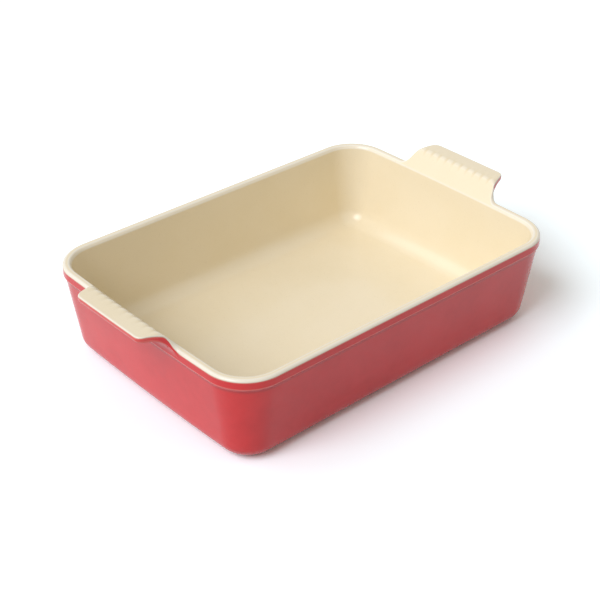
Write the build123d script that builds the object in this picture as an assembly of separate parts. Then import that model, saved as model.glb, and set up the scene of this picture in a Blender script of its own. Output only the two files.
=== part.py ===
from build123d import *
import os
from math import atan2, cos, radians, sin, sqrt, tan

os.makedirs("parts", exist_ok=True)

# A one-piece stoneware lasagna dish with its glazes, in millimetres.
# It stands on z = 0 with its long side along X and a handle at each end.

# Rim, across its widest line
rim_length = 320
rim_width = 229
rim_height = 76.5
rim_corner = 33
rim_thickness = 6.5
rim_rounding = 2.4
short_side_bow = 2

# Band that stands proud of the wall under the rim
band_height = 8.5
band_overhang = 1.3
band_bevel = 0.7

# Wall and base
wall_draft = 8
base_thickness = 6
outer_base_rounding = 12.6
inner_base_rounding = 15

# Bare foot ring
foot_height = 1.2
foot_width = 6
foot_inset = 23
foot_corner = 16

# Handle tab, seen from above
tab_reach = 22
tab_tip_half_width = 36.5
tab_flare = 8.8
tab_corner = 6
tab_root_rounding = 11

# Handle tab, seen from the side
tab_rise = 13
tab_thickness = 5
tab_slope = 50
tab_slope_setback = 0.6
tab_crest_rounding = 4
tab_underside_rounding = 15
tab_upper_bevel = 1.4
tab_lower_lip = 2.2

# Handle hump, seen from the end
hump_top_half_width = 41.5
hump_flare = 6.5
hump_top_rounding = 5
hump_foot_rounding = 8

# Grip ribs on the inner slope of each handle
rib_count = 9
rib_pitch = 7.8
rib_groove_width = 2.9
rib_groove_depth = 1.2
rib_groove_lean = 6

# Glazes
glaze_thickness = 0.5
cream_lip = 2.4
lip_setback = 1.5

# How far a handle runs into the rim that carries it, and how far cutters overrun
root_bury = 0.2
rim_seat = 0.15
overrun = 5

square = radians(90)

half_length = rim_length / 2
half_width = rim_width / 2
tab_root_half_width = tab_tip_half_width + tab_flare
hump_foot_half_width = hump_top_half_width + hump_flare
tab_span = hump_foot_half_width + hump_foot_rounding + overrun


def outline(level, inset, corner):
    """Rounded rectangle with gently bowed short sides, drawn at a height."""
    middle = half_length - inset
    end = middle - short_side_bow
    side = half_width - inset
    with BuildSketch(Plane.XY.offset(level)) as sketch:
        with BuildLine():
            Line((-end, side), (end, side))
            ThreePointArc((end, side), (middle, 0), (end, -side))
            Line((end, -side), (-end, -side))
            ThreePointArc((-end, -side), (-middle, 0), (-end, side))
        make_face()
        fillet(sketch.vertices(), corner)
    return sketch.sketch


def tapered(top, bottom, inset):
    """Block under the rim outline whose sides lean in towards the base."""
    face = outline(top, inset, rim_corner - inset)
    return extrude(face, amount=top - bottom, dir=(0, 0, -1), taper=wall_draft)


def lowest_edges(shape):
    return shape.faces().sort_by(Axis.Z)[0].edges()


def highest_edges(shape):
    return shape.faces().sort_by(Axis.Z)[-1].edges()


def bevel(radius, turn):
    """Length of a bevel that lies square under an arc of this radius and turn."""
    return radius * (tan(turn / 2) - tan(turn / 4))


def soften(edges, radius, skin):
    """Round square edges of the glaze, or bevel the clay's edges that lie under them."""
    if skin == 0:
        return fillet(edges, radius)
    return chamfer(edges, bevel(radius - skin, square))


def eased(sketch, corners, radius, turn, skin):
    """Outline with corners rounded for the glaze, or bevelled for the clay under it."""
    near = [sketch.vertices().sort_by_distance(corner)[0] for corner in corners]
    if skin == 0:
        return fillet(near, radius)
    return chamfer(near, bevel(radius, turn))


def outside(skin):
    """Wall, base and rim band as a solid block, with a skin taken off."""
    band_bottom = rim_height - band_height + skin
    band_top = rim_height - skin
    wall = tapered(band_bottom, foot_height + skin, band_overhang + skin)
    wall = fillet(lowest_edges(wall), outer_base_rounding - skin)
    band = extrude(outline(band_bottom, skin, rim_corner - skin), amount=band_top - band_bottom)
    if skin == 0:
        band = chamfer(lowest_edges(band), band_bevel)
    band = soften(highest_edges(band), rim_rounding, skin)
    return wall + band


def hollow(skin):
    """Tapered block that opens out the inside, with its floor edge rounded or bevelled."""
    block = tapered(rim_height - skin, foot_height + base_thickness - skin, rim_thickness - skin)
    if skin == 0:
        return fillet(lowest_edges(block), inner_base_rounding)
    turn = square - radians(wall_draft)
    return chamfer(lowest_edges(block), bevel(inner_base_rounding + skin, turn))


def bowl(skin):
    """Dish without its handles."""
    shell = outside(skin) - hollow(skin)
    rim_face = shell.faces().filter_by(Plane.XY).sort_by(Axis.Z)[-1]
    return soften(rim_face.inner_wires()[0].edges(), rim_rounding, skin)


def shrunk(sketch, skin):
    """Outline moved inwards by a skin."""
    if skin == 0:
        return sketch
    return offset(sketch, amount=-skin, kind=Kind.INTERSECTION)


def slope_foot():
    """Where the inner slope of a handle leaves the rim rounding."""
    lean = radians(tab_slope)
    centre = half_length - rim_thickness + rim_rounding
    foot_x = centre - rim_rounding * sin(lean) + tab_slope_setback
    foot_z = rim_height - rim_rounding + rim_rounding * cos(lean)
    return foot_x, foot_z


def crest():
    """Where the inner slope would meet the level top of the tab."""
    foot_x, foot_z = slope_foot()
    top = rim_height + tab_rise
    return foot_x + (top - foot_z) / tan(radians(tab_slope)), top


def tab_side(skin):
    """Handle in side view: inner slope, level top and curved underside."""
    foot = slope_foot()
    peak = crest()
    tip = half_length + tab_reach
    below = peak[1] - tab_thickness
    face = half_length - root_bury
    radius = tab_underside_rounding
    turn = radius * (1 - cos(square / 2))
    with BuildSketch(Plane.XZ) as side:
        with BuildLine():
            Polyline(foot, peak, (tip, peak[1]), (tip, below), (face + radius, below))
            ThreePointArc((face + radius, below), (face + turn, below - turn), (face, below - radius))
            Polyline((face, below - radius), (foot[0] + rim_rounding, below - radius), foot)
        make_face()
    side = shrunk(side.sketch, skin)
    side = eased(side, [(peak[0], 0, peak[1])], tab_crest_rounding - skin, radians(tab_slope), skin)
    return eased(side, [(tip, 0, below)], tab_lower_lip - skin, square, skin)


def tab_hump(skin):
    """Handle seen from its end: level top that falls to the rim each side."""
    top = rim_height + tab_rise
    rim = rim_height - rim_seat
    floor = rim_height - tab_underside_rounding
    turn = atan2(top - rim, hump_foot_half_width - hump_top_half_width)
    right = [(hump_top_half_width, top), (hump_foot_half_width, rim), (tab_span, rim), (tab_span, floor)]
    left = [(-y, z) for y, z in reversed(right)]
    with BuildSketch(Plane.YZ) as hump:
        with BuildLine():
            Polyline(*right, *left, close=True)
        make_face()
    hump = shrunk(hump.sketch, skin)
    feet = [(0, hump_foot_half_width, rim), (0, -hump_foot_half_width, rim)]
    hump = eased(hump, feet, hump_foot_rounding + skin, turn, skin)
    tops = [(0, hump_top_half_width, top), (0, -hump_top_half_width, top)]
    return eased(hump, tops, hump_top_rounding - skin, turn, skin)


def tab_plan(skin):
    """Handle seen from above: tab that widens into the rim."""
    root = half_length - rim_rounding
    inner = root - tab_reach
    tip = half_length + tab_reach
    level = rim_height - tab_underside_rounding
    turn = atan2(tip - root, tab_root_half_width - tab_tip_half_width)
    right = [(tip, tab_tip_half_width), (root, tab_root_half_width), (root, tab_span), (inner, tab_span)]
    left = [(x, -y) for x, y in reversed(right)]
    with BuildSketch(Plane.XY.offset(level)) as plan:
        with BuildLine():
            Polyline(*right, *left, close=True)
        make_face()
    plan = shrunk(plan.sketch, skin)
    roots = [(root, tab_root_half_width, level), (root, -tab_root_half_width, level)]
    plan = eased(plan, roots, tab_root_rounding + skin, turn, skin)
    tips = [(tip, tab_tip_half_width, level), (tip, -tab_tip_half_width, level)]
    return eased(plan, tips, tab_corner - skin, turn, skin)


def handle(skin):
    """Handle at the +X end, crossed from its three views."""
    side = extrude(tab_side(skin), amount=tab_span, both=True)
    hump = extrude(tab_hump(skin), amount=half_length + tab_reach + overrun)
    plan = extrude(tab_plan(skin), amount=tab_underside_rounding + tab_rise - skin)
    lip = highest_edges(plan).filter_by_position(Axis.X, half_length - rim_thickness, half_length + tab_reach)
    return side & hump & chamfer(lip, tab_upper_bevel)


def grooves(skin):
    """Grooves that part the grip ribs, deepest where they cross the crest."""
    x, z = crest()
    lean = radians(tab_slope - rib_groove_lean)
    flare = rib_groove_width / 2 / rib_groove_depth
    depth = rib_groove_depth + skin * sqrt(1 + 1 / flare**2)
    spread = (overrun + depth) * flare
    cutters = []
    for index in range(rib_count + 1):
        y = (index - rib_count / 2) * rib_pitch
        across = Plane(origin=(x, y, z), x_dir=(0, 1, 0), z_dir=(cos(lean), 0, sin(lean)))
        with BuildSketch(across) as vee:
            with BuildLine():
                Polyline((0, -depth), (spread, overrun), (-spread, overrun), close=True)
            make_face()
        cutters.append(extrude(vee.sketch, amount=tab_rise + overrun, both=True))
    return cutters


def form(skin):
    """Whole dish with a skin taken off every glazed surface."""
    grip = handle(skin) - grooves(skin)
    return bowl(skin) + grip + grip.rotate(Axis.Z, 180)


def foot_ring():
    """Bare ring that the dish stands on, run up into its base."""
    height = foot_height + base_thickness / 2
    ring = extrude(outline(0, foot_inset, foot_corner), amount=height)
    inner = extrude(outline(0, foot_inset + foot_width, foot_corner - foot_width), amount=height)
    return ring - inner


def under_lip():
    """Room under a line just below the handle's upper side."""
    foot = slope_foot()
    peak = crest()
    low = rim_height - tab_underside_rounding
    tip = half_length + tab_reach + overrun
    with BuildSketch(Plane.XZ) as side:
        with BuildLine():
            Polyline(foot, peak, (tip, peak[1]), (tip, low), (foot[0], low), close=True)
        make_face()
    side = eased(side.sketch, [(peak[0], 0, peak[1])], tab_crest_rounding, radians(tab_slope), 0)
    room = extrude(side, amount=tab_span, both=True)
    room = room & extrude(tab_hump(0), amount=half_length + tab_reach + overrun + overrun)
    return Pos(lip_setback, 0, -cream_lip) * room


def red_zone():
    """Room in which the glaze is red: outside and below the lip line."""
    top = rim_height - cream_lip
    length = rim_length + tab_reach + tab_reach + overrun
    hung = (Align.CENTER, Align.CENTER, Align.MAX)
    block = Pos(0, 0, top) * Box(length, rim_width + overrun, rim_height + overrun, align=hung)
    lip = under_lip()
    core = tapered(rim_height, foot_height + base_thickness / 2, rim_thickness / 2)
    core = fillet(lowest_edges(core), outer_base_rounding)
    return block + lip + lip.rotate(Axis.Z, 180) - core


def glazes():
    """Cream, red and base glaze, each laid face to face on the clay."""
    coat = form(0) - form(glaze_thickness) - foot_ring()
    zone = red_zone()
    outer, recess = (coat & zone).solids().sort_by(SortBy.VOLUME, reverse=True)
    return coat - zone, outer, recess


cream_glaze, red_glaze, base_glaze = glazes()
nodes = {
    "stoneware_body": form(glaze_thickness) + foot_ring(),
    "cream_glaze": cream_glaze,
    "red_glaze": red_glaze,
    "base_glaze": base_glaze,
}
for name, shape in nodes.items():
    shape.label = name
    export_step(shape, f"parts/{name}.step")
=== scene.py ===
"""A stoneware lasagna dish, glazed cream inside and red outside, on a pale studio floor.

The dish is one fired piece. Its clay and its glazes are kept as pieces of their own, each a
closed mesh at its real thickness. All sizes are in metres and all angles in degrees.

A section of the dish is a line of points, each a distance outwards from the rim's outline and
a height. The sections stand side by side once round the dish, one at each column of the mesh.
"""

import logging
from dataclasses import dataclass, field
from enum import Enum
from math import asin, atan2, cos, hypot, pi, radians, sin, sqrt, tan
from typing import NamedTuple

import bpy
import numpy as np
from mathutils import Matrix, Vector

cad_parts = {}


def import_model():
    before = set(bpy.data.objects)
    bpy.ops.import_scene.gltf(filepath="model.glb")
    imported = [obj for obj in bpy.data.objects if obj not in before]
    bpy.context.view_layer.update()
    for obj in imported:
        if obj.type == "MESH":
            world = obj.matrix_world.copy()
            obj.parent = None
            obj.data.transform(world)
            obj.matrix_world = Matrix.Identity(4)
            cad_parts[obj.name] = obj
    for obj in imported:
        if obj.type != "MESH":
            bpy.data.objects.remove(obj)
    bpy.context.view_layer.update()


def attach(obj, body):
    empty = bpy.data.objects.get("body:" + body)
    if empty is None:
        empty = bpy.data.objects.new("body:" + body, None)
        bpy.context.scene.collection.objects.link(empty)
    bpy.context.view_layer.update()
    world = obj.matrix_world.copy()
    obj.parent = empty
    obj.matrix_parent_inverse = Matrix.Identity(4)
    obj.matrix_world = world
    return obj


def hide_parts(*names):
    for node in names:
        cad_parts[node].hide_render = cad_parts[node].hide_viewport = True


LOG = logging.getLogger("lasagna_dish")
BODY = "root"

Point = tuple[float, float]
Pair = tuple[float, float]
Colour = tuple[float, float, float]
Socket = bpy.types.NodeSocket

# Distance that stands for nowhere near the crest or the line.
NOWHERE_NEAR = 1.0

# Turns, cuts and gaps too small to count, and the decimals that heights are compared to.
LEAST_TURN = 1e-6
LEAST_CUT = 1e-9
LEAST_GAP = 1e-8
HEIGHT_DECIMALS = 7

# Shares of a row and of its two neighbours in the bend that the finishes see.
BEND_SHARES = (0.25, 0.5, 0.25)

# Places of the colour sockets on a Mix node, which has a set for each kind of value.
MIX_SHARE = 0
MIX_FIRST = 6
MIX_SECOND = 7
MIX_RESULT = 2


class Slot(Enum):
    """The record's material slots."""

    STONEWARE = "stoneware"
    CREAM = "cream"
    RED = "red"


class Piece(Enum):
    """The pieces of the dish, each with its name, its CAD node and its material slot."""

    CREAM = ("cream_glaze_coat", "cream_glaze", Slot.CREAM)
    RED = ("red_glaze_coat", "red_glaze", Slot.RED)
    BASE = ("base_glaze_patch", "base_glaze", Slot.RED)
    CLAY = ("fired_clay", "stoneware_body", Slot.STONEWARE)

    def __init__(self, label: str, node: str, slot: Slot) -> None:
        """Keep what the piece is called, what it stands for and what it is made of.

        Args:
            label: Name of the piece.
            node: CAD node that the piece stands for.
            slot: Material slot of the piece.
        """
        self.label = label
        self.node = node
        self.slot = slot


class Mark(Enum):
    """Values that a piece carries on its points, for its ribs and its finish.

    The first two are distances from the handle's crest and from the line between the glazes.
    Convexity runs from -1 in a hollow to 1 on an edge, and groove from 0 to 1.
    """

    CREST = "crest_distance"
    LINE = "line_distance"
    CONVEXITY = "convexity"
    GROOVE = "groove"


class Stretch(Enum):
    """The kinds of stretch that the rim's outline is made of."""

    SHORT_SIDE = "short side"
    CORNER = "corner"
    LONG_SIDE = "long side"


class Column(NamedTuple):
    """One column of the mesh: its stretch, the signs of its x and y, and its place.

    On a short side the place is y, as far as the handle's window reaches, and past that it is
    one plus a share of the rest, with the sign of y. On a corner and a long side it is a share
    of the stretch.
    """

    stretch: Stretch
    sign_x: int
    sign_y: int
    place: float


def rounded_path(corners: list[Point], radii: list[float], steps: int = 14) -> list[Point]:
    """Round the corners of an open line.

    Args:
        corners: The line's points.
        radii: One radius for each inner corner. Two that share a short run are shrunk to fit.
        steps: How many pieces each round corner has.

    Returns:
        The points of the rounded line, both ends included.
    """
    points = [Vector(corner) for corner in corners]
    runs = [(after - before) for before, after in zip(points, points[1:])]
    turns = [first.angle_signed(second) for first, second in zip(runs, runs[1:])]
    cuts = [radius * tan(abs(turn) / 2) for radius, turn in zip(radii, turns)]
    for index, run in enumerate(runs):
        near = [place for place in (index - 1, index) if 0 <= place < len(cuts)]
        needed = sum(cuts[place] for place in near)
        if needed > run.length:
            for place in near:
                cuts[place] *= run.length / needed
    path = [tuple(points[0])]
    for index, (turn, cut) in enumerate(zip(turns, cuts)):
        if abs(turn) < LEAST_TURN or cut < LEAST_CUT:
            path.append(tuple(points[index + 1]))
            continue
        along = runs[index].normalized()
        start = points[index + 1] - along * cut
        radius = cut / tan(abs(turn) / 2)
        side = -1 if turn > 0 else 1
        centre = start + Vector((-along.y, along.x)) * radius * side
        first = atan2(start.y - centre.y, start.x - centre.x)
        path += arc((centre.x, centre.y), radius, first, first + side * abs(turn), steps)
    path.append(tuple(points[-1]))
    return path


def arc(centre: Point, radius: float, first: float, last: float, steps: int = 24) -> list[Point]:
    """Draw an arc from one angle to another.

    Args:
        centre: Centre of the arc.
        radius: Radius of the arc.
        first: Angle that it starts at, in radians.
        last: Angle that it ends at, in radians.
        steps: How many pieces it has.

    Returns:
        The points of the arc, both ends included.
    """
    angles = np.linspace(first, last, steps + 1)
    return [(centre[0] + radius * cos(a), centre[1] + radius * sin(a)) for a in angles]


def spread_rows(path: list[Point], rows: int, run: float = 0.0016, turn: float = 9.0) -> np.ndarray:
    """Place rows along a line, closer together where it turns.

    Args:
        path: Points of the line.
        rows: How many rows to place, both ends included.
        run: Length that counts as one share.
        turn: Turn in degrees that counts as one share.

    Returns:
        An array of rows by 2.
    """
    line = np.array(path)
    keep = np.append(True, np.linalg.norm(np.diff(line, axis=0), axis=1) > LEAST_GAP)
    line = line[keep]
    step = np.diff(line, axis=0)
    length = np.linalg.norm(step, axis=1)
    heading = np.unwrap(np.arctan2(step[:, 1], step[:, 0]))
    bend = np.zeros(len(line))
    bend[1:-1] = np.abs(np.diff(heading))
    cost = length / run + (bend[:-1] + bend[1:]) / 2 / radians(turn)
    total = np.append(0.0, np.cumsum(cost))
    wanted = np.linspace(0.0, total[-1], rows)
    return np.column_stack([np.interp(wanted, total, line[:, axis]) for axis in (0, 1)])


@dataclass(frozen=True)
class RimOutline:
    """Plan outline of the dish: long straight sides, bowed short sides and round corners."""

    length: float = 0.320
    width: float = 0.229
    corner: float = 0.033
    bow: float = 0.002
    window: float = 0.058
    rib_half_span: float = 0.040
    rib_columns: int = 160
    flank_columns: int = 38
    end_columns: int = 6
    corner_columns: int = 26
    side_columns: int = 22

    def short_places(self) -> list[float]:
        """Place the columns of a short side, closest together at the handle's ribs.

        Returns:
            The places, as Column has them.
        """
        ribs = list(np.linspace(-self.rib_half_span, self.rib_half_span, self.rib_columns + 1))
        flank = list(np.linspace(self.rib_half_span, self.window, self.flank_columns + 1))[1:]
        past = [1 + share for share in np.linspace(0, 1, self.end_columns + 1)[1:]]
        window = [-y for y in reversed(flank)] + ribs + flank
        return [-place for place in reversed(past)] + window + past[:-1]

    def columns(self) -> list[Column]:
        """List the columns of the mesh, once round the rim.

        Returns:
            The columns, counterclockwise from the far short side.
        """
        short = self.short_places()
        turn = list(np.linspace(0, 1, self.corner_columns + 1)[:-1])
        back = [1 - share for share in turn]
        along = list(np.linspace(0, 1, self.side_columns + 1)[:-1])
        loop = [
            (Stretch.SHORT_SIDE, 1, 1, short),
            (Stretch.CORNER, 1, 1, turn),
            (Stretch.LONG_SIDE, 1, 1, along),
            (Stretch.CORNER, -1, 1, back),
            (Stretch.SHORT_SIDE, -1, -1, short),
            (Stretch.CORNER, -1, -1, turn),
            (Stretch.LONG_SIDE, -1, -1, along),
            (Stretch.CORNER, 1, -1, back),
        ]
        return [
            Column(stretch, sign_x, sign_y, place)
            for stretch, sign_x, sign_y, places in loop
            for place in places
        ]

    def handle_places(self) -> np.ndarray:
        """Find where the columns stand at their handle.

        Returns:
            Distance of each column from the handle's middle plane, or the window's half width.
        """
        places = []
        for column in self.columns():
            inside = column.stretch is Stretch.SHORT_SIDE and abs(column.place) < 1
            places.append(abs(column.place) if inside else self.window)
        return np.array(places)

    def place(self, column: Column, inset: np.ndarray, corner: np.ndarray) -> np.ndarray:
        """Find where a column stands at each inset from the rim.

        Args:
            column: The column.
            inset: How far inside the rim's outline each row lies; outside it is negative.
            corner: Corner radius of the outline at each row.

        Returns:
            An array of rows by 2, x and y.
        """
        middle = self.length / 2 - inset
        side = self.width / 2 - inset
        bow_radius = (side**2 + self.bow**2) / (2 * self.bow)
        bow_centre = middle - bow_radius
        centre_y = side - corner
        centre_x = bow_centre + np.sqrt((bow_radius - corner) ** 2 - centre_y**2)
        lean = np.arctan2(centre_y, centre_x - bow_centre)
        if column.stretch is Stretch.SHORT_SIDE:
            y = np.full_like(inset, column.place)
            if abs(column.place) >= 1:
                last = centre_y + corner * np.sin(lean)
                share = abs(column.place) - 1
                y = np.sign(column.place) * (self.window + share * (last - self.window))
            x = bow_centre + np.sqrt(bow_radius**2 - y**2)
        elif column.stretch is Stretch.CORNER:
            angle = lean + column.place * (pi / 2 - lean)
            x = centre_x + corner * np.cos(angle)
            y = centre_y + corner * np.sin(angle)
        else:
            x = centre_x * (1 - 2 * column.place)
            y = side
        return np.column_stack([column.sign_x * x, column.sign_y * y])


@dataclass(frozen=True)
class HandleForm:
    """Shape of one handle: a tab that rises from the rim on a corbelled underside."""

    reach: float = 0.022
    tip_half_width: float = 0.0365
    root_half_width: float = 0.0444
    tip_corner: float = 0.006
    root_rounding: float = 0.009
    rise: float = 0.013
    thickness: float = 0.005
    crest_setback: float = 0.00629
    crest_rounding: float = 0.0055
    underside_rounding: float = 0.015
    lower_lip: float = 0.0021
    upper_edge: float = 0.0010
    cream_lip: float = 0.0008
    top_half_width: float = 0.0415
    flank_half_width: float = 0.048
    top_rounding: float = 0.006
    flank_rounding: float = 0.008
    edge_share: float = 0.46
    plan_steps: int = 24

    def reach_at(self, y: np.ndarray) -> np.ndarray:
        """How far the handle stands out from the rim, at distances from its middle plane."""
        halves = (self.tip_half_width, self.root_half_width)
        return self.run_out(y, self.reach, halves, (self.tip_corner, self.root_rounding))

    def rise_at(self, y: np.ndarray) -> np.ndarray:
        """How far the handle's top stands over the rim, at distances from its middle plane."""
        halves = (self.top_half_width, self.flank_half_width)
        return self.run_out(y, self.rise, halves, (self.top_rounding, self.flank_rounding))

    def run_out(self, y: np.ndarray, full: float, halves: Pair, radii: Pair) -> np.ndarray:
        """Follow a size that is full in the handle's middle and runs out at its sides.

        Args:
            y: Distances from the handle's middle plane.
            full: The size in the middle.
            halves: Half widths at which it starts to fall and at which nothing is left.
            radii: Roundings at these half widths.

        Returns:
            The size at each distance.
        """
        falls, ends = halves
        corners = [(0.0, full), (falls, full), (ends, 0.0), (ends + 2 * radii[1], 0.0)]
        line = np.array(rounded_path(corners, list(radii), self.plan_steps))
        return np.interp(y, line[:, 0], line[:, 1])


@dataclass(frozen=True)
class WallForm:
    """Sizes of the wall, and its section below the rim, inside and outside."""

    rim_height: float = 0.0765
    rim_thickness: float = 0.0065
    rim_rounding: float = 0.0024
    inner_rounding: float = 0.0034
    band_height: float = 0.0085
    band_overhang: float = 0.0013
    band_rounding: float = 0.0015
    step_rounding: float = 0.0010
    step_above: float = 0.0007
    step_below: float = 0.0014
    draft: float = 8.0
    floor_height: float = 0.0072
    floor_rounding: float = 0.015
    floor_margin: float = 0.001
    base_height: float = 0.0012
    base_rounding: float = 0.0126
    glaze_end: float = 0.0224
    cream_lip: float = 0.0019
    inner_rows: int = 22
    inner_run: float = 0.006
    cream_rows: int = 38
    red_rows: int = 30
    outer_rows: int = 34
    outer_run: float = 0.005
    outer_turn: float = 11.0

    def lean(self) -> float:
        """Inward run of a wall for each unit of its height."""
        return tan(radians(self.draft))

    def lip_centre(self) -> Point:
        """Find the centre of the rounding on the rim's inner edge.

        Returns:
            The centre.
        """
        wall = -self.rim_thickness - self.inner_rounding * self.lean()
        across = wall + self.inner_rounding / cos(radians(self.draft))
        return across, self.rim_height - self.inner_rounding

    def lip_start(self) -> Point:
        """Find where the inner wall runs into the rounding of the rim.

        Returns:
            The end of the straight wall.
        """
        across, height = self.lip_centre()
        angle = radians(180 - self.draft)
        return across + self.inner_rounding * cos(angle), height + self.inner_rounding * sin(angle)

    def band_end(self) -> float:
        """Height at which the face of the band starts to turn in."""
        return self.rim_height - self.band_height + self.step_above + self.band_rounding / 2

    def inside(self) -> np.ndarray:
        """Draw the section from the dish's floor up its inner wall.

        Returns:
            The rows of the section.
        """
        foot = -self.rim_thickness - (self.rim_height - self.floor_height) * self.lean()
        cut = self.floor_rounding * tan(radians(90 - self.draft) / 2)
        start = (foot - cut - self.floor_margin, self.floor_height)
        corners = [start, (foot, self.floor_height), self.lip_start()]
        path = rounded_path(corners, [self.floor_rounding])
        return spread_rows(path, self.inner_rows, self.inner_run)

    def outside(self) -> np.ndarray:
        """Draw the section from the band's lower edge down the outer wall to the glaze's end.

        Returns:
            The rows of the section.
        """
        step = self.rim_height - self.band_height
        wall = -self.band_overhang
        foot = wall - (step - self.base_height) * self.lean()
        corners = [
            (0.0, self.band_end()),
            (0.0, step + self.step_above),
            (wall - self.step_below * self.lean(), step - self.step_below),
            (foot, self.base_height),
            (-self.glaze_end, self.base_height),
        ]
        path = rounded_path(corners, [self.band_rounding, self.step_rounding, self.base_rounding])
        return spread_rows(path, self.outer_rows, self.outer_run, self.outer_turn)


@dataclass(frozen=True)
class RimSection:
    """Section over the rim, or over the handle that stands on it, at one column."""

    wall: WallForm
    handle: HandleForm
    reach: float
    rise: float

    def top(self) -> float:
        """Height of the upper side."""
        return self.wall.rim_height + self.rise

    def blend(self, at_rim: float, at_handle: float) -> float:
        """A size between the bare rim's and the full handle's, by how high the top stands."""
        return at_rim + (at_handle - at_rim) * (self.rise / self.handle.rise)

    def hollow(self) -> Point:
        """Centre of the round hollow under the handle."""
        radius = self.handle.underside_rounding
        return radius, self.wall.rim_height + self.handle.rise - self.handle.thickness - radius

    def face(self) -> float:
        """Find how tall the outer face is, from the underside up to the top.

        Returns:
            Its height from edge to edge.
        """
        across, height = self.hollow()
        inside = max(self.handle.underside_rounding**2 - min(self.reach - across, 0.0) ** 2, 0.0)
        return self.top() - (height + sqrt(inside))

    def slope(self) -> tuple[Point, Point]:
        """Find the slope that runs from the inner wall up to the top.

        Returns:
            Its knee on the line of the wall and its crest at the top.
        """
        centre, start = self.wall.lip_centre(), self.wall.lip_start()
        full = (self.handle.crest_setback, self.wall.rim_height + self.handle.rise)
        span = hypot(full[0] - centre[0], full[1] - centre[1])
        rising = atan2(full[1] - centre[1], full[0] - centre[0])
        rising -= asin(self.wall.inner_rounding / span)
        crest = (full[0] - (full[1] - self.top()) / tan(rising), self.top())
        wall = radians(90 - self.wall.draft)
        gap = (start[0] - crest[0], start[1] - crest[1])
        along = (gap[0] * sin(rising) - gap[1] * cos(rising)) / sin(wall - rising)
        return (start[0] + along * cos(wall), start[1] + along * sin(wall)), crest

    def upper_side(self) -> list[Point]:
        """Draw the slope, the top and its outer edge.

        Returns:
            The points of the line, from the inner wall outwards.
        """
        knee, crest = self.slope()
        edge = self.blend(self.wall.rim_rounding, self.handle.upper_edge)
        edge = min(edge, self.handle.edge_share * self.face())
        corner = (self.reach, self.top())
        corners = [self.wall.lip_start(), knee, crest, corner, (self.reach, self.top() - edge)]
        rounding = self.blend(self.wall.rim_rounding, self.handle.crest_rounding)
        return rounded_path(corners, [self.wall.inner_rounding, rounding, edge])

    def lower_side(self) -> list[Point]:
        """Draw the lower lip, the hollow under it and the face of the band.

        Returns:
            The points of the line, from the outer face down to the band's lower edge.
        """
        across, height = self.hollow()
        radius = self.handle.underside_rounding
        lip = min(self.handle.lower_lip, self.handle.edge_share * self.face())
        inner = self.reach - lip
        run = radius + lip
        lip_height, facing = height + run, pi / 2
        if inner < across:
            lip_height = height + sqrt(max(run**2 - (inner - across) ** 2, 0.0))
            facing = atan2(lip_height - height, inner - across)
        path = arc((inner, lip_height), lip, 0.0, facing - pi)
        path += arc((across, height), radius, facing, pi)
        return path + [(0.0, self.wall.band_end())]

    def glazes(self) -> tuple[np.ndarray, np.ndarray]:
        """Part the section where the cream glaze ends.

        Returns:
            The rows of cream glaze and the rows of red glaze, which share the line between them.
        """
        upper = self.upper_side()
        path = upper + self.lower_side()
        drop = self.blend(self.wall.cream_lip, self.handle.cream_lip)
        level = self.top() - min(drop, self.face() / 2)
        heights = [round(point[1], HEIGHT_DECIMALS) for point in upper]
        crest = max(range(len(upper)), key=lambda index: (heights[index], index))
        index = next(place for place in range(crest, len(path)) if path[place][1] < level)
        before, beyond = path[index - 1], path[index]
        share = (before[1] - level) / (before[1] - beyond[1])
        line = (before[0] + share * (beyond[0] - before[0]), level)
        cream = spread_rows(path[:index] + [line], self.wall.cream_rows)
        red = spread_rows([line] + path[index:], self.wall.red_rows)
        return cream, red


@dataclass(frozen=True)
class FootRing:
    """Bare ring of clay that the dish stands on, and the patch of glaze inside it."""

    inset: float = 0.023
    width: float = 0.006
    corner: float = 0.016
    edge: float = 0.0005
    rows: int = 20
    patch_edge: float = 0.00035
    patch_margin: float = 0.002
    patch_rows: int = 15
    round_steps: int = 5
    run: float = 0.002


@dataclass
class Surface:
    """Grid of points with what the ribs and the finishes need to know about each of them."""

    points: np.ndarray
    crest: np.ndarray
    line: np.ndarray
    convexity: np.ndarray

    def marks(self) -> dict[Mark, np.ndarray]:
        """Values of the points under each mark."""
        return {Mark.CREST: self.crest, Mark.LINE: self.line, Mark.CONVEXITY: self.convexity}

    def rows(self, first: int, last: int) -> "Surface":
        """Part of the grid, from the first row up to and without the last."""
        parts = (self.points, self.crest, self.line, self.convexity)
        return Surface(*(part[first:last] for part in parts))

    def normals(self) -> np.ndarray:
        """Work out the outward normals of the grid.

        Returns:
            One unit vector for each point.
        """
        down = np.gradient(self.points, axis=0)
        wrapped = np.concatenate([self.points[:, -1:], self.points, self.points[:, :1]], axis=1)
        around = (wrapped[:, 2:] - wrapped[:, :-2]) / 2
        normal = np.cross(down, around)
        return normal / np.linalg.norm(normal, axis=2, keepdims=True)

    def sunk(self, depth: float) -> "Surface":
        """The same grid at a depth under itself."""
        points = self.points - self.normals() * depth
        return Surface(points, self.crest, self.line, self.convexity)


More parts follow.
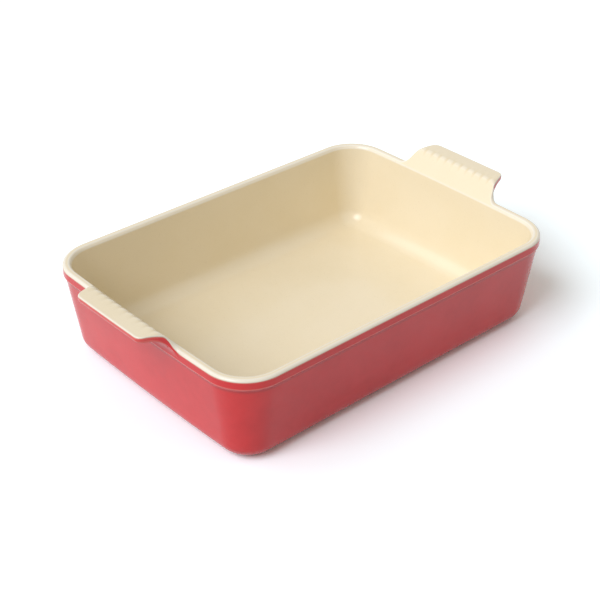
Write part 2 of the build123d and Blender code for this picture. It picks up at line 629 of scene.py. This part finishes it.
class MeshMaker:
    """Collects vertices, faces and marks, and turns them into one object."""

    def __init__(self) -> None:
        """Start with nothing."""
        self.points: list[np.ndarray] = []
        self.values: dict[Mark, list[np.ndarray]] = {}
        self.faces: list[tuple[int, ...]] = []
        self.count = 0

    def sheet(self, surface: Surface, outward: bool = True) -> np.ndarray:
        """Add a grid of quads that closes round the dish.

        Args:
            surface: The grid.
            outward: Whether the faces look the way the dish's surface does.

        Returns:
            The vertex numbers, in rows and columns.
        """
        rows, columns = surface.points.shape[:2]
        numbers = self.count + np.arange(rows * columns).reshape(rows, columns)
        self.points.append(surface.points.reshape(-1, 3))
        for mark, values in surface.marks().items():
            self.values.setdefault(mark, []).append(values.ravel())
        self.count += rows * columns
        near, far = numbers[:-1], numbers[1:]
        quads = np.stack([near, far, np.roll(far, -1, axis=1), np.roll(near, -1, axis=1)], axis=2)
        self.add(quads.reshape(-1, 4), outward)
        return numbers

    def add(self, faces: np.ndarray, outward: bool = True) -> None:
        """Add faces, turned over unless they look outward."""
        turned = faces if outward else faces[:, ::-1]
        self.faces.extend(map(tuple, turned.tolist()))

    def strip(self, first: np.ndarray, second: np.ndarray, outward: bool = True) -> None:
        """Join two loops of vertices with a strip of quads."""
        quads = np.stack([first, second, np.roll(second, -1), np.roll(first, -1)], axis=1)
        self.add(quads, outward)

    def cap(self, loop: np.ndarray, upward: bool) -> None:
        """Close a loop that runs counterclockwise with one flat face."""
        self.add(loop.reshape(1, -1), upward)

    def build(self, name: str) -> bpy.types.Object:
        """Make the object and link it to the scene.

        Args:
            name: Name of the object and of its mesh.

        Returns:
            The new object, at the origin.
        """
        mesh = bpy.data.meshes.new(name)
        mesh.from_pydata(np.concatenate(self.points).tolist(), [], self.faces)
        for mark, parts in self.values.items():
            layer = mesh.attributes.new(mark.value, "FLOAT", "POINT")
            layer.data.foreach_set("value", np.concatenate(parts).astype(np.float32))
        mesh.shade_smooth()
        mesh.update()
        piece = bpy.data.objects.new(name, mesh)
        bpy.context.scene.collection.objects.link(piece)
        return piece


@dataclass
class NodeMaker:
    """Short calls for the nodes of a node tree."""

    tree: bpy.types.NodeTree

    def node(self, kind: str, **settings: object) -> bpy.types.Node:
        """Add a node and set its options.

        Args:
            kind: Blender's name for the kind of node.
            **settings: The node's options.

        Returns:
            The new node.
        """
        node = self.tree.nodes.new(kind)
        for key, value in settings.items():
            setattr(node, key, value)
        return node

    def feed(self, socket: Socket, value: object) -> None:
        """Link a socket to another, or set it to a plain value.

        Args:
            socket: The socket that is fed.
            value: Another socket, a number, a vector or a colour.
        """
        if isinstance(value, Socket):
            self.tree.links.new(value, socket)
        elif socket.type == "RGBA":
            socket.default_value = (*value, 1.0)
        else:
            socket.default_value = value

    def result(self, node: bpy.types.Node, *values: object) -> Socket:
        """Feed the first sockets of a node, one value to each.

        Args:
            node: The node.
            *values: Sockets, numbers or colours.

        Returns:
            Its first output.
        """
        for socket, value in zip(node.inputs, values):
            self.feed(socket, value)
        return node.outputs[0]

    def shader(self, kind: str, *values: object) -> Socket:
        """Add a shader and feed its first sockets."""
        return self.result(self.node(kind), *values)

    def math(self, operation: str, *values: object) -> Socket:
        """Work out one operation on sockets or numbers."""
        return self.result(self.node("ShaderNodeMath", operation=operation), *values)

    def ramp(self, value: Socket, limits: Pair, results: Pair) -> Socket:
        """Map a value smoothly from one range to another.

        Args:
            value: The value to map.
            limits: Start and end of the value's range.
            results: Results at that start and end.

        Returns:
            The mapped value.
        """
        node = self.node("ShaderNodeMapRange", interpolation_type="SMOOTHSTEP")
        return self.result(node, value, *limits, *results)

    def mix(self, share: Socket, first: object, second: object) -> Socket:
        """Blend two colours.

        Args:
            share: How much of the second colour shows.
            first: A socket or a plain colour.
            second: A socket or a plain colour.

        Returns:
            The blend.
        """
        node = self.node("ShaderNodeMix", data_type="RGBA")
        for index, value in ((MIX_SHARE, share), (MIX_FIRST, first), (MIX_SECOND, second)):
            self.feed(node.inputs[index], value)
        return node.outputs[MIX_RESULT]

    def noise(self, where: Socket, scale: float, detail: float = 2.0) -> Socket:
        """Add cloudy noise.

        Args:
            where: Coordinates that it is laid on.
            scale: Waves to the metre.
            detail: How many finer waves lie on them.

        Returns:
            The noise, about 0.5 on average.
        """
        node = self.node("ShaderNodeTexNoise")
        for name, value in (("Vector", where), ("Scale", scale), ("Detail", detail)):
            self.feed(node.inputs[name], value)
        return node.outputs["Fac"]

    def relief(self, height: Socket, strength: float, depth: float) -> Socket:
        """Turn a height into a normal.

        Args:
            height: Height of the relief, from 0 to 1.
            strength: How much of it shows.
            depth: Real height of 1.

        Returns:
            The normal.
        """
        node = self.node("ShaderNodeBump")
        for name, value in (("Height", height), ("Strength", strength), ("Distance", depth)):
            self.feed(node.inputs[name], value)
        return node.outputs[0]

    def marked(self, mark: Mark) -> Socket:
        """Value of one of the piece's own marks."""
        return self.node("ShaderNodeAttribute", attribute_name=mark.value).outputs["Fac"]


def new_finish(name: str) -> tuple[bpy.types.Material, NodeMaker, bpy.types.Node]:
    """Start a material.

    Args:
        name: Name of the material.

    Returns:
        The material, the calls for its nodes and its shader.
    """
    material = bpy.data.materials.new(name)
    material.use_nodes = True
    tree = material.node_tree
    return material, NodeMaker(tree), tree.nodes["Principled BSDF"]


@dataclass(frozen=True)
class GripRibs:
    """Ribs that part the crest of a handle, so that a wet hand doesn't slip.

    What is pressed in are the grooves beside them, one more than there are ribs. They go down
    and outwards, at a lean, and run out on the slope and on the top.
    """

    count: int = 9
    pitch: float = 0.0078
    depth: float = 0.0006
    slope_reach: float = 0.0085
    top_reach: float = 0.0080
    lean: float = 20.0
    roundness: float = 0.75

    def inputs(self, finish: bpy.types.Material | None = None) -> dict[str, tuple[str, object]]:
        """List the named inputs of the node tree.

        Args:
            finish: The material that the piece gets. The tree is built without one.

        Returns:
            For each name the kind of socket and the value.
        """
        return {
            "Rib Count": ("NodeSocketInt", self.count),
            "Rib Pitch": ("NodeSocketFloat", self.pitch),
            "Groove Depth": ("NodeSocketFloat", self.depth),
            "Slope Reach": ("NodeSocketFloat", self.slope_reach),
            "Top Reach": ("NodeSocketFloat", self.top_reach),
            "Lean": ("NodeSocketFloat", radians(self.lean)),
            "Roundness": ("NodeSocketFloat", self.roundness),
            "Finish": ("NodeSocketMaterial", finish),
        }

    def amount(self, make: NodeMaker, given: bpy.types.NodeOutputs, across: Socket) -> Socket:
        """Work out how deep a point lies in a groove.

        Args:
            make: Calls for the tree's nodes.
            given: The tree's named inputs.
            across: Place of the point across the handle.

        Returns:
            One in the middle of a groove at the crest, and zero on and beyond the ribs.
        """
        crest = make.node("GeometryNodeInputNamedAttribute", data_type="FLOAT")
        make.feed(crest.inputs["Name"], Mark.CREST.value)
        distance = crest.outputs["Attribute"]
        half = make.math("MULTIPLY", make.math("SUBTRACT", given["Rib Count"], 1.0), 0.5)
        number = make.math("ADD", make.math("DIVIDE", across, given["Rib Pitch"]), half)
        wave = make.math("ABSOLUTE", make.math("COSINE", make.math("MULTIPLY", number, pi)))
        groove = make.math("SUBTRACT", 1.0, make.math("POWER", wave, given["Roundness"]))
        after_first = make.math("GREATER_THAN", number, -1.0)
        before_last = make.math("LESS_THAN", number, given["Rib Count"])
        inner = make.math("LESS_THAN", distance, 0.0)
        outer = make.math("SUBTRACT", 1.0, inner)
        inner_reach = make.math("MULTIPLY", inner, given["Slope Reach"])
        outer_reach = make.math("MULTIPLY", outer, given["Top Reach"])
        reach = make.math("ADD", inner_reach, outer_reach)
        share = make.math("DIVIDE", make.math("ABSOLUTE", distance), reach)
        near = make.ramp(share, (0.0, 1.0), (1.0, 0.0))
        among = make.math("MULTIPLY", after_first, before_last)
        return make.math("MULTIPLY", make.math("MULTIPLY", groove, near), among)

    def tree(self) -> bpy.types.NodeTree:
        """Build the node tree that presses the grooves between the ribs into a piece.

        Returns:
            The tree, which ends in Realize Instances and Set Material.
        """
        tree = bpy.data.node_groups.new("grip_ribs", "GeometryNodeTree")
        geometry = "NodeSocketGeometry"
        tree.interface.new_socket("Geometry", in_out="INPUT", socket_type=geometry)
        for name, (kind, _) in self.inputs().items():
            tree.interface.new_socket(name, in_out="INPUT", socket_type=kind)
        tree.interface.new_socket("Geometry", in_out="OUTPUT", socket_type=geometry)
        make = NodeMaker(tree)
        given = make.node("NodeGroupInput").outputs
        place = make.node("ShaderNodeSeparateXYZ")
        make.feed(place.inputs[0], make.node("GeometryNodeInputPosition").outputs[0])
        amount = self.amount(make, given, place.outputs["Y"])
        deep = make.math("MULTIPLY", amount, given["Groove Depth"])
        side = make.math("SIGN", place.outputs["X"])
        sideways = make.math("MULTIPLY", side, make.math("SINE", given["Lean"]))
        down = make.math("MULTIPLY", make.math("COSINE", given["Lean"]), -1.0)
        offset = make.node("ShaderNodeCombineXYZ")
        make.feed(offset.inputs["X"], make.math("MULTIPLY", sideways, deep))
        make.feed(offset.inputs["Z"], make.math("MULTIPLY", down, deep))
        keep = make.node("GeometryNodeStoreNamedAttribute", data_type="FLOAT", domain="POINT")
        make.feed(keep.inputs["Name"], Mark.GROOVE.value)
        make.feed(keep.inputs["Geometry"], given["Geometry"])
        make.feed(keep.inputs["Value"], amount)
        press = make.node("GeometryNodeSetPosition")
        make.feed(press.inputs["Geometry"], keep.outputs[0])
        make.feed(press.inputs["Offset"], offset.outputs[0])
        real = make.node("GeometryNodeRealizeInstances")
        make.feed(real.inputs[0], press.outputs[0])
        dress = make.node("GeometryNodeSetMaterial")
        make.feed(dress.inputs["Geometry"], real.outputs[0])
        make.feed(dress.inputs["Material"], given["Finish"])
        make.feed(make.node("NodeGroupOutput").inputs[0], dress.outputs[0])
        return tree

    def press(
        self, piece: bpy.types.Object, tree: bpy.types.NodeTree, finish: bpy.types.Material
    ) -> None:
        """Press the grooves into a piece and keep the result as its plain mesh.

        Args:
            piece: The piece, with the distance from the crest on its points.
            tree: The tree that tree() built.
            finish: The material that the piece gets.
        """
        values = {name: value for name, (_, value) in self.inputs(finish).items()}
        modifier = piece.modifiers.new("grip_ribs", "NODES")
        modifier.node_group = tree
        for item in tree.interface.items_tree:
            if item.item_type == "SOCKET" and item.in_out == "INPUT" and item.name in values:
                modifier[item.identifier] = values[item.name]
        bpy.context.view_layer.update()
        graph = bpy.context.evaluated_depsgraph_get()
        made = bpy.data.meshes.new_from_object(piece.evaluated_get(graph))
        piece.modifiers.remove(modifier)
        old = piece.data
        made.name = old.name + "_mesh"
        piece.data = made
        bpy.data.meshes.remove(old)


@dataclass(frozen=True)
class GlazeFinish:
    """Glossy glaze that thins to a paler tone on edges, partly painted highlight, and pools in
    hollows.

    Each tone is laid over the ones before it. It starts to show at the first of its limits and
    shows by its full amount from the second on.
    """

    name: str
    colour: Colour
    cloud: Colour
    # Paler tone of round edges: thinned glaze, and partly a painted highlight.
    thin_and_highlight: Colour
    thin_and_highlight_amount: float
    pooled: Colour
    line: Colour
    speck: Colour
    speck_amount: float
    roughness: float
    refraction: float = 1.5
    cloud_scale: float = 24.0
    cloud_detail: float = 3.0
    cloud_limits: Pair = (0.35, 0.70)
    mottle_scale: float = 150.0
    mottle_limits: Pair = (0.30, 0.75)
    mottle_amount: float = 0.35
    thin_and_highlight_limits: Pair = (0.10, 0.85)
    pooled_limits: Pair = (-0.08, -0.80)
    groove_limits: Pair = (0.10, 0.80)
    pooled_amount: float = 0.8
    line_width: float = 0.0006
    line_amount: float = 0.85
    speck_scale: float = 900.0
    speck_limits: Pair = (0.735, 0.79)
    gloss_limits: Pair = (0.25, 0.75)
    gloss_spread: Pair = (0.85, 1.2)
    wave_scale: float = 22.0
    skin_scale: float = 420.0
    skin_share: float = 0.02
    ripple: float = 0.00035

    def tone(self, make: NodeMaker, where: Socket, mottle: Socket) -> Socket:
        """Lay the glaze's tones over each other.

        Args:
            make: Calls for the material's nodes.
            where: Coordinates that the patterns are laid on.
            mottle: Fine noise that makes the tones uneven.

        Returns:
            The colour.
        """
        clouds = make.noise(where, self.cloud_scale, self.cloud_detail)
        specks = make.noise(where, self.speck_scale, 0.0)
        convexity = make.marked(Mark.CONVEXITY)
        groove = make.marked(Mark.GROOVE)
        uneven = make.math("MULTIPLY", make.math("SUBTRACT", mottle, 0.5), self.line_width)
        line = make.math("ADD", make.marked(Mark.LINE), uneven)
        layers = [
            (clouds, self.cloud_limits, (0.0, 1.0), self.cloud),
            (mottle, self.mottle_limits, (0.0, self.mottle_amount), self.cloud),
            # Round edges turn paler: thinned glaze, and partly a painted highlight.
            (convexity, self.thin_and_highlight_limits, (0.0, self.thin_and_highlight_amount), self.thin_and_highlight),
            (convexity, self.pooled_limits, (0.0, self.pooled_amount), self.pooled),
            (groove, self.groove_limits, (0.0, self.pooled_amount), self.pooled),
            (line, (0.0, self.line_width), (self.line_amount, 0.0), self.line),
            (specks, self.speck_limits, (0.0, self.speck_amount), self.speck),
        ]
        tone = self.colour
        for value, limits, amounts, colour in layers:
            tone = make.mix(make.ramp(value, limits, amounts), tone, colour)
        return tone

    def material(self) -> bpy.types.Material:
        """Build the material.

        Returns:
            The new material.
        """
        material, make, shader = new_finish(self.name)
        where = make.node("ShaderNodeTexCoord").outputs["Object"]
        mottle = make.noise(where, self.mottle_scale)
        make.feed(shader.inputs["Base Color"], self.tone(make, where, mottle))
        low, high = self.gloss_spread
        gloss = make.ramp(mottle, self.gloss_limits, (self.roughness * low, self.roughness * high))
        make.feed(shader.inputs["Roughness"], gloss)
        make.feed(shader.inputs["IOR"], self.refraction)
        waves = make.noise(where, self.wave_scale, 0.0)
        skin = make.math("MULTIPLY", make.noise(where, self.skin_scale, 0.0), self.skin_share)
        relief = make.relief(make.math("ADD", waves, skin), 1.0, self.ripple)
        make.feed(shader.inputs["Normal"], relief)
        return material


@dataclass(frozen=True)
class ClayFinish:
    """Bare fired clay: matt and sandy, with darker patches and small dark grains."""

    name: str = "bare_stoneware"
    colour: Colour = (0.62, 0.52, 0.40)
    dark: Colour = (0.43, 0.34, 0.25)
    grain: Colour = (0.25, 0.17, 0.11)
    patch_scale: float = 60.0
    patch_limits: Pair = (0.35, 0.70)
    patch_amount: float = 0.6
    grain_scale: float = 900.0
    grain_size: float = 0.16
    grain_amount: float = 0.7
    sand_scale: float = 2200.0
    sand_limits: Pair = (0.3, 0.7)
    roughness: Pair = (0.72, 0.92)
    relief_strength: float = 0.6
    relief_depth: float = 0.0002

    def material(self) -> bpy.types.Material:
        """Build the material.

        Returns:
            The new material.
        """
        material, make, shader = new_finish(self.name)
        where = make.node("ShaderNodeTexCoord").outputs["Object"]
        patch = make.noise(where, self.patch_scale)
        sand = make.noise(where, self.sand_scale)
        grains = make.node("ShaderNodeTexVoronoi")
        make.feed(grains.inputs["Vector"], where)
        make.feed(grains.inputs["Scale"], self.grain_scale)
        worn = make.ramp(patch, self.patch_limits, (0.0, self.patch_amount))
        tone = make.mix(worn, self.colour, self.dark)
        limits = (0.0, self.grain_size)
        spot = make.ramp(grains.outputs["Distance"], limits, (self.grain_amount, 0.0))
        make.feed(shader.inputs["Base Color"], make.mix(spot, tone, self.grain))
        make.feed(shader.inputs["Roughness"], make.ramp(sand, self.sand_limits, self.roughness))
        relief = make.relief(sand, self.relief_strength, self.relief_depth)
        make.feed(shader.inputs["Normal"], relief)
        return material


CREAM_GLAZE = GlazeFinish(
    name="cream_glaze",
    colour=(0.83, 0.727, 0.52),
    cloud=(0.84, 0.742, 0.545),
    # Paler tone of round edges, partly a painted highlight.
    thin_and_highlight=(0.87, 0.83, 0.735),
    thin_and_highlight_amount=0.75,
    pooled=(0.79, 0.67, 0.445),
    line=(0.62, 0.50, 0.38),
    speck=(0.60, 0.47, 0.30),
    speck_amount=0.12,
    roughness=0.22,
)

RED_GLAZE = GlazeFinish(
    name="cherry_red_glaze",
    colour=(0.70, 0.016, 0.020),
    cloud=(0.78, 0.024, 0.027),
    # Paler tone of round edges, partly a painted highlight.
    thin_and_highlight=(0.86, 0.15, 0.13),
    thin_and_highlight_amount=0.85,
    pooled=(0.50, 0.012, 0.018),
    line=(0.74, 0.22, 0.17),
    speck=(0.45, 0.012, 0.014),
    speck_amount=0.15,
    roughness=0.20,
)


@dataclass
class LasagnaDish:
    """The dish: clay under cream glaze above and inside, and red glaze outside."""

    outline: RimOutline = field(default_factory=RimOutline)
    handle: HandleForm = field(default_factory=HandleForm)
    wall: WallForm = field(default_factory=WallForm)
    ring: FootRing = field(default_factory=FootRing)
    ribs: GripRibs = field(default_factory=GripRibs)
    glaze: float = 0.0005
    bend_radius: float = 0.0024

    def section(self, reach: float, rise: float) -> np.ndarray:
        """Draw a whole section, from the dish's floor over the rim to the end of the glaze.

        Args:
            reach: How far the handle stands out from the rim here.
            rise: How far its top stands over the rim here.

        Returns:
            The rows of the section.
        """
        cream, red = RimSection(self.wall, self.handle, reach, rise).glazes()
        return np.concatenate([self.wall.inside(), cream[1:], red[1:], self.wall.outside()[1:]])

    def surface(self) -> Surface:
        """Work out the glazed surface, from the floor over the rim to the base.

        Returns:
            The grid of points with their distance from the handle's crest, their distance from
            the line between the glazes and how strongly the section bends there.
        """
        places = self.outline.handle_places()
        reaches = self.handle.reach_at(places)
        rises = self.handle.rise_at(places)
        crest = (self.handle.crest_setback, self.wall.rim_height + self.handle.rise)
        plain = self.section(0.0, 0.0)
        points, crests, lines, bends = [], [], [], []
        for column, place, reach, rise in zip(self.outline.columns(), places, reaches, rises):
            section = plain
            if place < self.outline.window:
                section = self.section(float(reach), float(rise))
            inset = -section[:, 0]
            xy = self.outline.place(column, inset, self.outline.corner - inset)
            points.append(np.column_stack([xy, section[:, 1]]))
            offset = section - crest
            away = np.linalg.norm(offset, axis=1) * np.where(offset[:, 0] < 0, -1, 1)
            past_ribs = place > self.outline.rib_half_span
            crests.append(np.full(len(away), NOWHERE_NEAR) if past_ribs else away)
            lines.append(self.line_distance(section))
            bends.append(self.convexity(section))
        return Surface(*(np.stack(part, axis=1) for part in (points, crests, lines, bends)))

    def line_row(self) -> int:
        """Row of the line between the glazes."""
        return self.wall.inner_rows + self.wall.cream_rows - 2

    def line_distance(self, section: np.ndarray) -> np.ndarray:
        """Distance along a section from the line between the glazes."""
        run = np.append(0.0, np.cumsum(np.linalg.norm(np.diff(section, axis=0), axis=1)))
        return np.abs(run - run[self.line_row()])

    def convexity(self, section: np.ndarray) -> np.ndarray:
        """Measure how strongly a section bends.

        Args:
            section: The rows of the section.

        Returns:
            For each row a number over 0 on a round edge and under 0 in a hollow.
        """
        step = np.diff(section, axis=0)
        length = np.linalg.norm(step, axis=1)
        heading = np.unwrap(np.arctan2(step[:, 1], step[:, 0]))
        bend = np.zeros(len(section))
        bend[1:-1] = -np.diff(heading) / ((length[:-1] + length[1:]) / 2)
        spread = np.convolve(np.pad(bend, 1, mode="edge"), BEND_SHARES, mode="valid")
        return np.clip(spread * self.bend_radius, -1.0, 1.0)

    def glaze_shell(self, name: str, outer: Surface, inner: Surface, floor: bool) -> bpy.types.Object:
        """Make one glaze as a closed shell.

        Args:
            name: Name of the piece.
            outer: Its visible side.
            inner: Its side on the clay.
            floor: Whether it starts with the flat floor of the dish.

        Returns:
            The new object.
        """
        maker = MeshMaker()
        top = maker.sheet(outer)
        under = maker.sheet(inner, outward=False)
        maker.strip(top[-1], under[-1])
        if floor:
            maker.cap(top[0], upward=True)
            maker.cap(under[0], upward=False)
        else:
            maker.strip(top[0], under[0], outward=False)
        return maker.build(name)

    def flat_rows(self, corners: list[Point], edges: list[float], rows: int) -> Surface:
        """Turn a short line under the base into rows round the dish.

        Args:
            corners: Points of the line, each an inset from the rim and a height.
            edges: Roundings of its inner corners.
            rows: How many rows to place.

        Returns:
            The grid of rows.
        """
        path = rounded_path(corners, edges, self.ring.round_steps)
        section = spread_rows(path, rows, self.ring.run)
        inset, height = section[:, 0], section[:, 1]
        radius = self.ring.corner - (inset - self.ring.inset)
        columns = [self.outline.place(column, inset, radius) for column in self.outline.columns()]
        points = np.stack([np.column_stack([xy, height]) for xy in columns], axis=1)
        flat = np.zeros(points.shape[:2])
        return Surface(points, flat + NOWHERE_NEAR, flat + NOWHERE_NEAR, flat)

    def clay(self, skin: Surface) -> bpy.types.Object:
        """Make the fired clay with its foot ring as one closed solid.

        Args:
            skin: The clay's surface under the glazes.

        Returns:
            The new object.
        """
        level = self.wall.base_height + self.glaze
        outer, inner = self.ring.inset, self.ring.inset + self.ring.width
        corners = [(outer, level), (outer, 0.0), (inner, 0.0), (inner, level)]
        ring = self.flat_rows(corners, [self.ring.edge, self.ring.edge], self.ring.rows)
        maker = MeshMaker()
        shape = maker.sheet(skin)
        foot = maker.sheet(ring)
        maker.strip(shape[-1], foot[0])
        maker.cap(shape[0], upward=True)
        maker.cap(foot[-1], upward=False)
        return maker.build(Piece.CLAY.label)

    def base_glaze(self) -> bpy.types.Object:
        """Make the patch of red glaze inside the foot ring.

        Returns:
            The new object.
        """
        edge = self.ring.inset + self.ring.width + self.glaze
        low, high = self.wall.base_height, self.wall.base_height + self.glaze
        corners = [(edge + self.ring.patch_margin, low), (edge, low), (edge, high)]
        patch = self.flat_rows(corners, [self.ring.patch_edge], self.ring.patch_rows)
        maker = MeshMaker()
        rows = maker.sheet(patch, outward=False)
        maker.cap(rows[0], upward=False)
        maker.cap(rows[-1], upward=True)
        return maker.build(Piece.BASE.label)

    def shapes(self) -> dict[Piece, bpy.types.Object]:
        """Make the shapes of all the pieces, without ribs.

        Returns:
            The pieces' objects.
        """
        surface = self.surface()
        skin = surface.sunk(self.glaze)
        line = self.line_row()
        rest = len(surface.points)
        upper = (surface.rows(0, line + 1), skin.rows(0, line + 1))
        lower = (surface.rows(line, rest), skin.rows(line, rest))
        return {
            Piece.CREAM: self.glaze_shell(Piece.CREAM.label, *upper, floor=True),
            Piece.RED: self.glaze_shell(Piece.RED.label, *lower, floor=False),
            Piece.CLAY: self.clay(skin),
            Piece.BASE: self.base_glaze(),
        }

    def dress(self, piece: bpy.types.Object, kind: Piece, finish: bpy.types.Material) -> None:
        """Give a piece its material, hang it on the dish's body and hide the CAD node that it stands
        for.

        Args:
            piece: The piece's object.
            kind: Which piece it is.
            finish: Its material.
        """
        piece.data.materials.clear()
        piece.data.materials.append(finish)
        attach(piece, BODY)
        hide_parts(kind.node)

    def build(self) -> list[bpy.types.Object]:
        """Make all the pieces, press the ribs into them and dress them.

        Returns:
            The finished pieces.
        """
        finishes = {
            Slot.CREAM: CREAM_GLAZE.material(),
            Slot.RED: RED_GLAZE.material(),
            Slot.STONEWARE: ClayFinish().material(),
        }
        shapes = self.shapes()
        tree = self.ribs.tree()
        for kind in (Piece.CREAM, Piece.CLAY):
            self.ribs.press(shapes[kind], tree, finishes[kind.slot])
        for kind in Piece:
            self.dress(shapes[kind], kind, finishes[kind.slot])
        return [shapes[kind] for kind in Piece]


@dataclass(frozen=True)
class StudioCamera:
    """Camera at the photograph's viewing angle."""

    azimuth: float = -41.45
    elevation: float = 32.28
    distance: float = 0.97427
    target: tuple[float, float, float] = (-0.05383, -0.05447, 0.0750)
    lens: float = 82.02
    sensor: float = 36.0
    clip_start: float = 0.01

    def place(self) -> None:
        """Add the camera and make it the scene's own."""
        turn, tilt = radians(self.azimuth), radians(self.elevation)
        back = Vector((sin(turn) * cos(tilt), -cos(turn) * cos(tilt), sin(tilt)))
        data = bpy.data.cameras.new("studio_camera")
        data.lens = self.lens
        data.sensor_width = self.sensor
        data.clip_start = self.clip_start
        camera = bpy.data.objects.new("studio_camera", data)
        camera.location = Vector(self.target) + back * self.distance
        camera.rotation_mode = "QUATERNION"
        camera.rotation_quaternion = (-back).to_track_quat("-Z", "Y")
        bpy.context.scene.collection.objects.link(camera)
        bpy.context.scene.camera = camera


@dataclass(frozen=True)
class SoftLamp:
    """Broad soft light from far away, turned from the dish's long side and set at a height."""

    name: str
    turn: float
    height: float
    strength: float
    spread: float
    colour: Colour

    def hang(self) -> None:
        """Add the lamp to the scene."""
        data = bpy.data.lights.new(self.name, "SUN")
        data.energy = self.strength
        data.color = self.colour
        data.angle = radians(self.spread)
        lamp = bpy.data.objects.new(self.name, data)
        lamp.rotation_mode = "QUATERNION"
        turn, height = radians(self.turn), radians(self.height)
        towards = Vector((cos(turn) * cos(height), sin(turn) * cos(height), sin(height)))
        lamp.rotation_quaternion = towards.to_track_quat("Z", "Y")
        bpy.context.scene.collection.objects.link(lamp)


KEY_LIGHT = SoftLamp(
    name="key_light",
    turn=182.0,
    height=44.0,
    strength=1.80,
    spread=36.0,
    colour=(0.98, 1.0, 1.08),
)

BACK_LIGHT = SoftLamp(
    name="back_light",
    turn=128.0,
    height=42.0,
    strength=0.55,
    spread=50.0,
    colour=(1.0, 1.0, 1.0),
)


@dataclass(frozen=True)
class Studio:
    """Pale floor, two soft lamps and a white surrounding.

    The floor's two seen colours add up where it is looked at, so that it is white where it is
    lit. The bounce colour is what it sends back up to the dish.
    """

    lamps: tuple[SoftLamp, ...] = (KEY_LIGHT, BACK_LIGHT)
    floor_size: float = 12.0
    floor_drop: float = 0.0001
    seen_floor: Colour = (0.98, 0.98, 0.98)
    seen_gain: Colour = (0.18, 0.30, 0.35)
    bounce_floor: Colour = (0.42, 0.42, 0.42)
    fill_colour: Colour = (1.0, 0.95, 0.85)
    fill: float = 0.46
    white: Colour = (1.0, 1.0, 1.0)

    def floor(self) -> None:
        """Add the pale floor."""
        half = self.floor_size / 2
        mesh = bpy.data.meshes.new("studio_floor")
        corners = [(-half, -half), (half, -half), (half, half), (-half, half)]
        mesh.from_pydata([(x, y, -self.floor_drop) for x, y in corners], [], [(0, 1, 2, 3)])
        mesh.materials.append(self.floor_finish())
        ground = bpy.data.objects.new("studio_floor", mesh)
        bpy.context.scene.collection.objects.link(ground)

    def floor_finish(self) -> bpy.types.Material:
        """Build the floor's matt material.

        Returns:
            The new material.
        """
        material = bpy.data.materials.new("studio_floor")
        material.use_nodes = True
        tree = material.node_tree
        tree.nodes.clear()
        make = NodeMaker(tree)
        pale = make.shader("ShaderNodeBsdfDiffuse", self.seen_floor)
        gain = make.shader("ShaderNodeBsdfDiffuse", self.seen_gain)
        bounced = make.shader("ShaderNodeBsdfDiffuse", self.bounce_floor)
        seen = make.shader("ShaderNodeAddShader", pale, gain)
        self.choose(make, bounced, seen, "ShaderNodeOutputMaterial")
        return material

    def surround(self) -> None:
        """Make the world white to look at, and a soft fill light for the rest."""
        world = bpy.data.worlds.new("studio")
        bpy.context.scene.world = world
        world.use_nodes = True
        tree = world.node_tree
        tree.nodes.clear()
        make = NodeMaker(tree)
        bounced = make.shader("ShaderNodeBackground", self.fill_colour, self.fill)
        seen = make.shader("ShaderNodeBackground", self.white, 1.0)
        self.choose(make, bounced, seen, "ShaderNodeOutputWorld")

    def choose(self, make: NodeMaker, bounced: Socket, seen: Socket, output: str) -> None:
        """Show one shader to whoever looks, and use another for the light that bounces.

        Args:
            make: Calls for the tree's nodes.
            bounced: Shader for light that bounces.
            seen: Shader for what is seen, straight on, in a reflection or through glass.
            output: Blender's name for the kind of output node.
        """
        rays = make.node("ShaderNodeLightPath").outputs
        looked = make.math("MAXIMUM", rays["Is Camera Ray"], rays["Is Glossy Ray"])
        looked = make.math("MAXIMUM", looked, rays["Is Transmission Ray"])
        chosen = make.shader("ShaderNodeMixShader", looked, bounced, seen)
        make.feed(make.node(output).inputs[0], chosen)

    def build(self) -> None:
        """Make the whole studio."""
        for lamp in self.lamps:
            lamp.hang()
        self.floor()
        self.surround()
        bpy.context.scene.view_settings.view_transform = "Standard"


def corners(bounds: tuple[Vector, Vector]) -> list[list[float]]:
    """Lowest and highest corner as plain lists of numbers."""
    return [list(corner) for corner in bounds]


def main() -> None:
    """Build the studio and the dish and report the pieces."""
    logging.basicConfig(level=logging.INFO, format="%(name)s: %(message)s")
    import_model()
    StudioCamera().place()
    Studio().build()
    for piece in LasagnaDish().build():
        mesh = piece.data
        LOG.info("%s: %d points, %d faces", piece.name, len(mesh.vertices), len(mesh.polygons))


if __name__ == "__main__":
    main()
